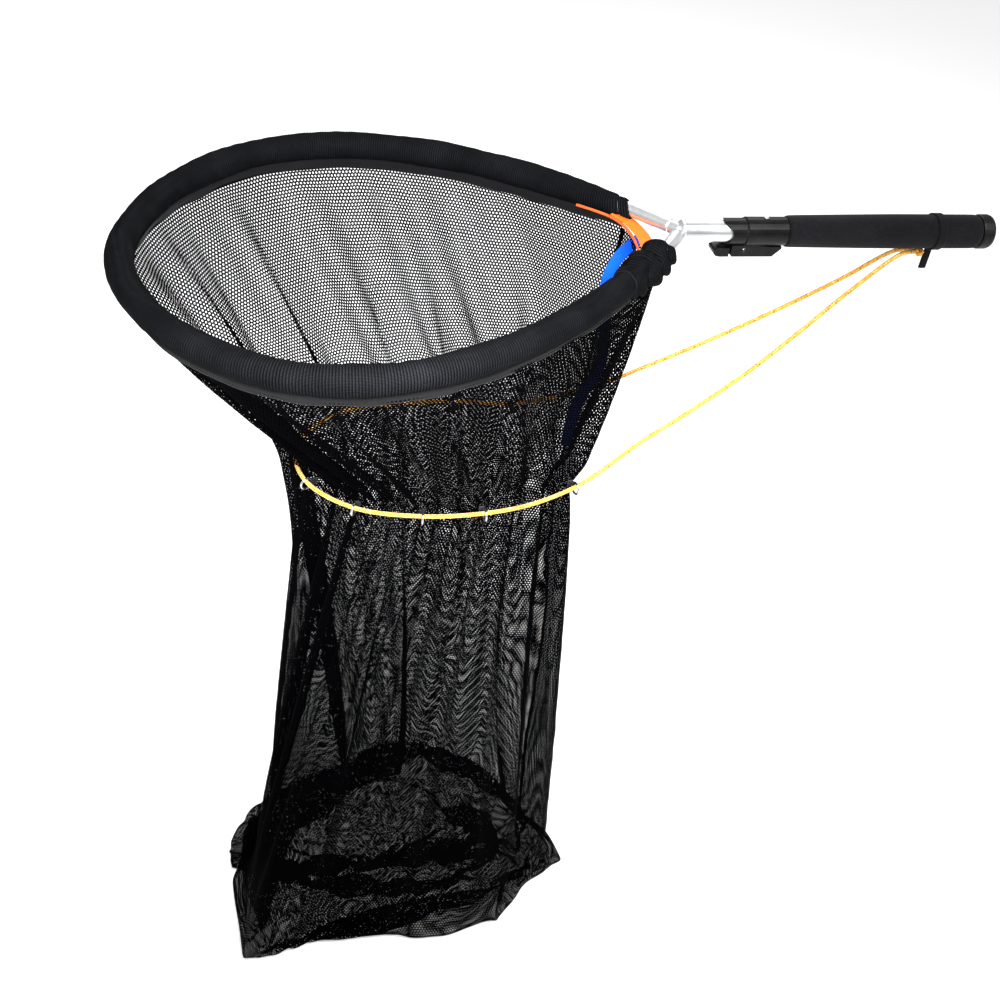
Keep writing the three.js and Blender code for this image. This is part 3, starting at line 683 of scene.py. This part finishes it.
# ---- bag ----------------------------------------------------------------------------------------
COLUMNS = 128                   # threads of the simulated cloth round the bag
CLOTH_LENGTH = 1.55             # flat, from the hem to the bottom seam
WAIST_LENGTH = 0.262            # cloth from the hem down to the rings
TUBE_X, TUBE_Y = -0.60, -0.01   # middle of the tube that the cloth starts as
TUBE_SHARE = 0.97               # the starting tube's length, of the cloth's
DRAWN_BY, LOWERED_BY, BAG_FRAMES = 42, 50, 85       # frames: waist drawn in, floor reached, at rest
# where the bag's foot lies on the floor: share of the way round the cloth, x, y
FOOT = [
    (0.03, -0.400, 0.030), (0.12, -0.460, 0.085), (0.22, -0.550, 0.100), (0.32, -0.640, 0.100), (0.42, -0.740, 0.075),
    (0.475, -0.800, 0.010), (0.52, -0.833, -0.060), (0.56, -0.826, -0.130), (0.60, -0.822, -0.198),
    (0.645, -0.763, -0.192), (0.685, -0.694, -0.158), (0.735, -0.616, -0.182), (0.79, -0.530, -0.200),
    (0.84, -0.452, -0.190), (0.88, -0.432, -0.105), (0.925, -0.318, -0.093), (0.97, -0.335, -0.030),
]
FOOT_SLACK = 1.02               # cloth from a ring to the foot, against the straight way
PLEATED_RINGS = 5               # the cloth is pleated between rings 01 to 05, on the side towards the camera
PLEAT_DEPTH = 0.6               # of the depth that would take up all the cloth
FOOT_HEIGHT = 0.006             # of the foot's outline above the floor
NET_SEWN_AT = -0.025            # height of the net's sewn edge in the hoop's own frame
SEAM_ON_FLOOR = (-0.60, -0.065)      # middle of the bottom seam, which lies folded up inside the foot
RINGS = [f"{i:02d}" for i in range(1, 11)]
# cloth between each ring and the next, against an even spread
GAP_SHARES = [1.0, 1.0, 1.45, 1.25, 1.0, 1.0, 0.9, 0.8, 0.9, 0.9]


def bag_top():
    """The line that the net is sewn to, and the cloth's width, all the way round."""
    run = lengths(HOOP)
    part = HOOP[(run >= SLEEVE_START - 0.002) & (run <= SLEEVE_END + 0.002)]
    loop = np.vstack([part, part[:1]])
    width = float(lengths(loop)[-1])
    ring = at_lengths(loop, np.arange(COLUMNS) / COLUMNS * width)
    return on_hoop(ring[:, 0], ring[:, 1], NET_SEWN_AT), width


def ring_holds():
    """Where each ring's tab is sewn to the net, and the way out from the bag there."""
    spots, outs = [], []
    for n in RINGS:
        ring = np.mean(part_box(f"cord_ring_{n}"), axis=0)
        tab = np.mean(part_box(f"ring_tab_{n}"), axis=0)
        out = unit(ring - tab)
        spots.append(tab - out * 0.0040)
        outs.append(out)
    return np.array(spots), np.array(outs)


def ring_columns(spots):
    """The column of cloth at each ring. Columns run from the yoke round the far side, rings the other way."""
    order = spots[::-1]
    gaps = np.linalg.norm(np.roll(order, -1, axis=0) - order, axis=1)
    shares = np.array(GAP_SHARES[:9][::-1] + GAP_SHARES[9:])
    gaps = gaps * shares
    run = np.concatenate([[0], np.cumsum(gaps[:-1])]) + gaps[-1] / 2
    columns = np.round(run / gaps.sum() * COLUMNS).astype(int) % COLUMNS
    return list(columns[::-1])


def waist_line(spots, outs, columns, step):
    """Where each column of cloth passes the rings' level, and which of them are held there: the cloth is sewn to
    the rings' tabs, and on the side towards the hand it is pleated inwards between them."""
    order = sorted(range(len(spots)), key=lambda i: columns[i])
    line, held = {}, set()
    for a, b in zip(order, order[1:] + order[:1]):
        count = (columns[b] - columns[a]) % COLUMNS
        gap = spots[b] - spots[a]
        pleats = max(1, round(count / 6))
        leg, half = count * step / (2 * pleats), float(np.linalg.norm(gap)) / (2 * pleats)
        pleated = a < PLEATED_RINGS and b < PLEATED_RINGS
        depth = PLEAT_DEPTH * math.sqrt(max(0.0, leg ** 2 - half ** 2)) if pleated else 0.0
        inward = -unit(outs[a] + outs[b])
        for k in range(count):
            t = k / count
            fold = 1 - abs(2 * ((t * pleats) % 1) - 1)
            column = (columns[a] + k) % COLUMNS
            line[column] = spots[a] + gap * t + inward * depth * fold
            if pleated or k == 0:
                held.add(column)
    return line, held


def bag_cloth():
    """The net cut flat and stood up as a tube under the hoop, with its bottom pressed flat and sewn."""
    top, width = bag_top()
    step = width / COLUMNS
    rows = int(round(CLOTH_LENGTH / step)) + 1
    r = np.random.default_rng(3)
    sheets = []
    for j in range(rows):
        f = j / (rows - 1)
        flat = max(0.0, (f - 0.25) / 0.75) ** 1.5
        x = TUBE_X + (top[:, 0] - TUBE_X) * (1 + 0.25 * flat)
        y = TUBE_Y + (top[:, 1] - TUBE_Y) * (1 - 0.97 * flat)
        down = min(1.0, f * 3)
        z = top[:, 2] * (1 - down) - 0.05 * down - f * CLOTH_LENGTH * TUBE_SHARE
        sheets.append(np.stack([x, y, z], 1))
    points = np.array(sheets)
    points[1:] += r.normal(0, 0.0006, points[1:].shape)
    faces, uv = [], []
    for j in range(rows - 1):
        for i in range(COLUMNS):
            b = (i + 1) % COLUMNS
            faces.append((j * COLUMNS + i, j * COLUMNS + b, (j + 1) * COLUMNS + b, (j + 1) * COLUMNS + i))
            uv += [(i * step, j * step), ((i + 1) * step, j * step), ((i + 1) * step, (j + 1) * step),
                   (i * step, (j + 1) * step)]
    last = (rows - 1) * COLUMNS
    left = int(np.argmin(points[-1, :, 0]))
    for k in range(COLUMNS // 2):
        q = [(left + k) % COLUMNS, (left + k + 1) % COLUMNS, (left - k - 1) % COLUMNS, (left - k) % COLUMNS]
        seam = list(dict.fromkeys(q))
        if len(seam) > 2:
            faces.append(tuple(last + v for v in seam))
            uv += [(v * step, (rows - 1) * step) for v in seam]
    piece = new_object("net_bag", points.reshape(-1, 3), faces, uv)
    return piece, step


def simulate(bag, step):
    """Hangs the cloth from the hem, draws it in to the rings, and lowers it on to the floor."""
    spots, outs = ring_holds()
    row = int(round(WAIST_LENGTH / step))
    pins = bag.vertex_groups.new(name="held")
    pins.add(list(range(COLUMNS)), 1.0, "REPLACE")
    bag.shape_key_add(name="flat")
    drawn = bag.shape_key_add(name="drawn")
    line, held = waist_line(spots, outs, [int(c) for c in ring_columns(spots)], step)
    for column in sorted(held):
        pins.add([row * COLUMNS + column], 1.0, "REPLACE")
        drawn.data[row * COLUMNS + column].co = Vector(line[column])
    for share, x, y in FOOT:
        column = round(share * COLUMNS) % COLUMNS
        foot = Vector((x, y, FLOOR_Z + FOOT_HEIGHT))
        down = (foot - Vector(line[column])).length * FOOT_SLACK
        v = round((WAIST_LENGTH + down) / step) * COLUMNS + column
        pins.add([v], 1.0, "REPLACE")
        drawn.data[v].co = foot
    last = len(bag.data.vertices) - COLUMNS
    for k in range(0, COLUMNS, 4):
        at = bag.data.vertices[last + k].co
        pins.add([last + k], 1.0, "REPLACE")
        drawn.data[last + k].co = (SEAM_ON_FLOOR[0] + (at.x - TUBE_X) * 0.40, SEAM_ON_FLOOR[1] + 0.02 * math.sin(k),
                                   FLOOR_Z + 0.012 + 0.008 * math.cos(2.1 * k))
    drawn.value = 0
    drawn.keyframe_insert("value", frame=1)
    drawn.value = 1
    drawn.keyframe_insert("value", frame=DRAWN_BY)
    ground = bpy.data.objects.new("ground", bpy.data.meshes.new("ground"))
    ground.data.from_pydata([(-2, -1.2, 0), (0.8, -1.2, 0), (0.8, 1.2, 0), (-2, 1.2, 0)], [], [(0, 1, 2, 3)])
    bpy.context.scene.collection.objects.link(ground)
    ground.location.z = -0.07 - CLOTH_LENGTH * TUBE_SHARE
    ground.keyframe_insert("location", frame=1)
    ground.location.z = FLOOR_Z
    ground.keyframe_insert("location", frame=LOWERED_BY)
    ground.modifiers.new("collision", "COLLISION")
    ground.collision.thickness_outer = 0.004
    ground.collision.cloth_friction = 30
    ground.collision.damping = 0.5
    cloth = bag.modifiers.new("cloth", "CLOTH")
    s = cloth.settings
    s.quality, s.mass, s.air_damping = 6, 0.045, 2.0
    s.tension_stiffness, s.compression_stiffness, s.shear_stiffness, s.bending_stiffness = 12, 8, 3, 0.2
    s.tension_damping, s.compression_damping, s.shear_damping, s.bending_damping = 5, 5, 2, 0.5
    s.vertex_group_mass = "held"
    cloth.collision_settings.use_collision = True
    cloth.collision_settings.distance_min = 0.003
    cloth.collision_settings.use_self_collision = False
    cloth.point_cache.frame_start, cloth.point_cache.frame_end = 1, BAG_FRAMES
    scene = bpy.context.scene
    scene.frame_start, scene.frame_end = 1, BAG_FRAMES
    for n in range(1, BAG_FRAMES + 1):
        scene.frame_set(n)
    shape = bag.evaluated_get(bpy.context.evaluated_depsgraph_get())
    points = np.array([v.co for v in shape.data.vertices])
    bag.modifiers.remove(cloth)
    bag.shape_key_clear()
    bag.vertex_groups.clear()
    bag.animation_data_clear()
    bpy.data.objects.remove(ground)
    scene.frame_set(1)
    return points


bag, cloth_step = bag_cloth()
settled = simulate(bag, cloth_step)
bag.data.vertices.foreach_set("co", settled.astype(np.float32).ravel())
bag.data.update()
_, net_width = bag_top()
# sewn joins down the net: at the yoke, where the cloth starts and ends, and at the hoop's tip
net_seams = (0.0, HOOP_LENGTH / 2 - SLEEVE_START, net_width)
finer = bag.modifiers.new("finer", "SUBSURF")
finer.levels = finer.render_levels = 1
finer.uv_smooth = "NONE"
yarn = bag.modifiers.new("yarn", "SOLIDIFY")
yarn.thickness, yarn.use_rim, yarn.offset = 0.0006, False, 0
place_piece(bag, "head", net_fabric(net_seams), ["net_upper", "net_waist", "net_lower", "net_base"])


# ---- blue pull strap inside the bag -----------------------------------------------------------------
blue_points = [(-0.3440, 0.0465, -0.030), (-0.3520, 0.0400, -0.033), (-0.3633, 0.0314, -0.036),
               (-0.3791, 0.0204, -0.045), (-0.3903, 0.0089, -0.060), (-0.3970, -0.0060, -0.078),
               (-0.3985, -0.0300, -0.100), (-0.4065, -0.0560, -0.140), (-0.4220, -0.0520, -0.190),
               (-0.4290, -0.0560, -0.250)]
blue = strap("blue_pull_strap", spline(blue_points, 20), 0.0066, 0.0007, (-0.25, -0.72, 0.64), 0.0012, 18, 0.0003, 83)
place_piece(blue, "head", BLUE_WEB, ["blue_strap"])


# ---- rings and their tabs --------------------------------------------------------------------------
TAB_HALF_W, TAB_HALF_T = 0.0034, 0.00045        # half of the webbing's width and thickness
WIRE_AT, TAB_STARTS_AT = 0.007, 0.0135          # from the ring's middle in towards the net
TAB_TURN_R = 0.0022                             # of the fold round the wire
WIRE_R = 0.0013


def ring_tab(n, out):
    """A short folded loop of webbing, sewn to the net and round the ring's wire."""
    ring = Vector(np.mean(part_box(f"cord_ring_{n}"), axis=0))
    o = Vector(out)
    wire = ring - o * WIRE_AT
    start = ring - o * TAB_STARTS_AT
    path = []
    for k in range(15):
        turn = math.pi * (0.5 + k / 14)
        rise = Vector((0, 0, math.sin(turn) * TAB_TURN_R))
        path.append(wire + o * (-math.cos(turn) * TAB_TURN_R) + rise)
    path = [start + Vector((0, 0, 0.0016))] + path + [start - Vector((0, 0, 0.0016))]
    points = np.array([tuple(p) for p in path])
    side = np.cross(out, (0, 0, 1))
    s = lengths(points)
    t = unit(np.gradient(points, axis=0))
    normal = unit(np.cross(t, side))
    ring_shape, around = rounded_box(TAB_HALF_W, TAB_HALF_T, 14)
    rows = points[:, None] + side[None, None] * ring_shape[None, :, :1] + normal[:, None] * ring_shape[None, :, 1:]
    return grid_piece(f"ring_loop_{n}", rows, s, around)


def ring_wire(n, out):
    """A welded round-wire ring, standing upright through the cord, with the weld's slight swelling on one side."""
    low, high = (np.array(v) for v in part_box(f"cord_ring_{n}"))
    middle, radius = (low + high) / 2, (high[2] - low[2]) / 2 - 0.0012
    a = TAU * np.arange(56) / 56
    b = TAU * np.arange(14) / 14
    spread = WIRE_R * (1 + 0.14 * np.exp(-((a - math.pi) / 0.12) ** 2))[:, None]
    reach = radius + spread * np.cos(b)[None]
    side = np.cross(out, (0, 0, 1))
    outward = np.cos(a)[:, None, None] * out + np.sin(a)[:, None, None] * np.array((0, 0, 1))
    rows = (middle + reach[..., None] * outward
            + (spread * np.sin(b)[None])[..., None] * side)
    rows = np.concatenate([rows, rows[:1]])
    piece = grid_piece(f"ring_wire_{n}", rows, radius * np.append(a, TAU), np.append(b, TAU) * WIRE_R, False)
    bm = bmesh.new()
    bm.from_mesh(piece.data)
    bmesh.ops.remove_doubles(bm, verts=bm.verts, dist=1e-7)
    bmesh.ops.recalc_face_normals(bm, faces=bm.faces)
    bm.to_mesh(piece.data)
    bm.free()
    return piece


_, ways_out = ring_holds()
for n, out in zip(RINGS, ways_out):
    place_piece(ring_wire(n, out), f"ring_{n}", STEEL, [f"cord_ring_{n}"])
for n, out in zip(RINGS, ways_out):
    place_piece(ring_tab(n, out), "head", BLACK_WEB, [f"ring_tab_{n}"])

# ---- handle ----------------------------------------------------------------------------------------
grip = turned("grip_sleeve", [
    (-0.196, 0.0146), (0.044, 0.0146), (0.044, 0.0172), (0.0434, 0.0181), (0.042, 0.0188), (0.036, 0.0192),
    (0.01, 0.0193), (-0.02, 0.01932), (-0.06, 0.0193), (-0.09, 0.0190), (-0.12, 0.0186), (-0.15, 0.0182),
    (-0.18, 0.0178), (-0.192, 0.0176), (-0.1945, 0.0173), (-0.1957, 0.0166), (-0.196, 0.0158),
], 112, 50, 0.00008)
place_piece(grip, "handle", FOAM, ["grip_foam"])

band = turned("anchor_strap", [
    (-0.014, 0.0194), (-0.004, 0.0194), (-0.0036, 0.0199), (-0.0038, 0.0207), (-0.0044, 0.0210), (-0.0066, 0.02085),
    (-0.009, 0.02095), (-0.0114, 0.02085), (-0.0136, 0.0210), (-0.0142, 0.0207), (-0.0144, 0.0199),
], 96, 60, 0.00006)
place_piece(band, "handle", BLACK_WEB, ["anchor_band"])
tab_path = [(-0.009, 0.0, z) for z in np.linspace(-0.0208, -0.0472, 12)]
tab = strap("anchor_loop", np.array(tab_path), 0.0045, 0.0015, (0, 1, 0), 0.0007, 20, 0.0002, 91)
place_piece(tab, "handle", BLACK_WEB, ["anchor_tab"])


def smoothing():
    """Rounds the shading of a carried solid, and keeps its true edges crisp."""
    group = bpy.data.node_groups.new("smooth_by_angle", "GeometryNodeTree")
    for way in ("INPUT", "OUTPUT"):
        group.interface.new_socket("Geometry", in_out=way, socket_type="NodeSocketGeometry")
    start, end = group.nodes.new("NodeGroupInput"), group.nodes.new("NodeGroupOutput")
    angle = group.nodes.new("GeometryNodeInputMeshEdgeAngle")
    below = group.nodes.new("FunctionNodeCompare")
    below.data_type, below.operation = "FLOAT", "LESS_THAN"
    below.inputs[1].default_value = math.radians(28)
    edges, faces = (group.nodes.new("GeometryNodeSetShadeSmooth") for _ in range(2))
    edges.domain, faces.domain = "EDGE", "FACE"
    link = group.links.new
    link(angle.outputs[0], below.inputs[0])
    link(start.outputs[0], edges.inputs[0])
    link(below.outputs[0], edges.inputs["Shade Smooth"])
    link(edges.outputs[0], faces.inputs[0])
    link(faces.outputs[0], end.inputs[0])
    return group


SMOOTHING = smoothing()
CARRIED = {
    "outer_tube": ALUMINIUM, "inner_tube": ALUMINIUM, "yoke": ALUMINIUM_ARM_SHADED,
    "butt_cap": CAP_PLASTIC, "lock_collar": PLASTIC, "lock_lever": PLASTIC,
    "slide_bush": PLASTIC, "collar_screw": STEEL, "lever_pin": DARK_STEEL,
}
for name, material in CARRIED.items():
    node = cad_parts[name]
    for k in range(len(node.material_slots)):
        node.material_slots[k].material = material
    if not node.material_slots:
        node.data.materials.append(material)
    shading = node.modifiers.new("shading", "NODES")
    shading.node_group = SMOOTHING


# ---- floor, light --------------------------------------------------------------------------------
def make_stage():
    floor = new_object("floor", [(-9, -9, 0), (9, -9, 0), (9, 9, 0), (-9, 9, 0)], [(0, 1, 2, 3)])
    floor.location.z = FLOOR_Z - 0.001
    f = Finish("floor_white", (0.93, 0.93, 0.93), 0.85)
    f.color(f.ramp(f.noise(f.place(), 2.5, 3.0), [(0.3, (0.925, 0.925, 0.925)), (0.7, (0.94, 0.94, 0.94))]))
    f.shader.inputs["Emission Color"].default_value = (1, 1, 1, 1)
    f.shader.inputs["Emission Strength"].default_value = 0.42
    floor.data.materials.append(f.material)
    world = bpy.data.worlds.new("studio")
    world.use_nodes = True
    world.node_tree.nodes["Background"].inputs[0].default_value = (1, 1, 1, 1)
    world.node_tree.nodes["Background"].inputs[1].default_value = 0.42
    bpy.context.scene.world = world
    for name, spot, size, power, aim, spread in (
        ("key", (0.1, -1.5, 2.5), 1.4, 86, (-0.4, 0, -0.6), 180),
        ("near", (-0.80, -0.80, 0.42), 0.30, 7, (-0.68, -0.22, -0.02), 70),
        ("fill", (1.8, -1.0, 1.6), 1.8, 20, (-0.3, 0, -0.3), 180),
        ("back", (0.2, 2.2, 1.8), 1.8, 26, (-0.5, 0, -0.6), 180),
    ):
        lamp = bpy.data.objects.new(name, bpy.data.lights.new(name, "AREA"))
        lamp.data.energy, lamp.data.size = power, size
        lamp.location = spot
        lamp.rotation_euler = (Vector(aim) - Vector(spot)).to_track_quat("-Z", "Y").to_euler()
        lamp.data.spread = math.radians(spread)
        lamp.visible_camera = False
        bpy.context.scene.collection.objects.link(lamp)
    bpy.context.scene.view_settings.view_transform = "Standard"
    bpy.context.scene.view_settings.gamma = 0.85


make_stage()
